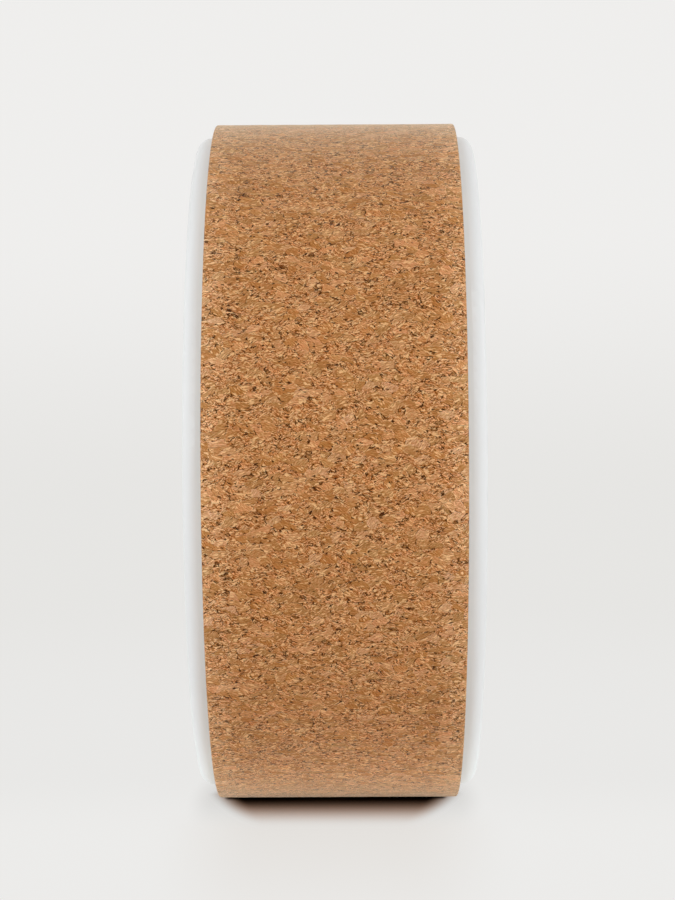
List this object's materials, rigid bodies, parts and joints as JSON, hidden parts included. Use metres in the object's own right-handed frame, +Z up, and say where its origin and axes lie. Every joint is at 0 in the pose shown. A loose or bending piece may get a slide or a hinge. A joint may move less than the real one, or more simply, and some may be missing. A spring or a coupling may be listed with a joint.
{
  "type": "yoga wheel",
  "caption": "Wide open yoga wheel: a hollow white plastic hoop with rounded rims, wrapped in a granulated cork tread, for back stretches and balance work.",
  "frame": {"origin": "centre of the wheel, on the axle line at mid-width", "axes": "+Y along the axle line, towards the right-hand side when the tread is seen from +X; +Z up with the wheel standing on its tread"},
  "size_m": [0.325, 0.13, 0.325],
  "materials": {
    "hoop_plastic": "smooth moulded gloss",
    "cement": "cured clear bead",
    "tape": "double-sided adhesive film",
    "foam": "closed-cell foam",
    "film": "adhesive film",
    "cork": "pressed cork granules, sanded",
    "seam_glue": "dried glue line"
  },
  "bodies": {
    "root": {"right_hoop_half": "hoop_plastic", "left_hoop_half": "hoop_plastic", "hoop_cement": "cement", "tread_tape": "tape", "foam_underlay": "foam", "laminate_film": "film", "cork_tread": "cork", "tread_seam_glue": "seam_glue"}
  },
  "joints": []
}
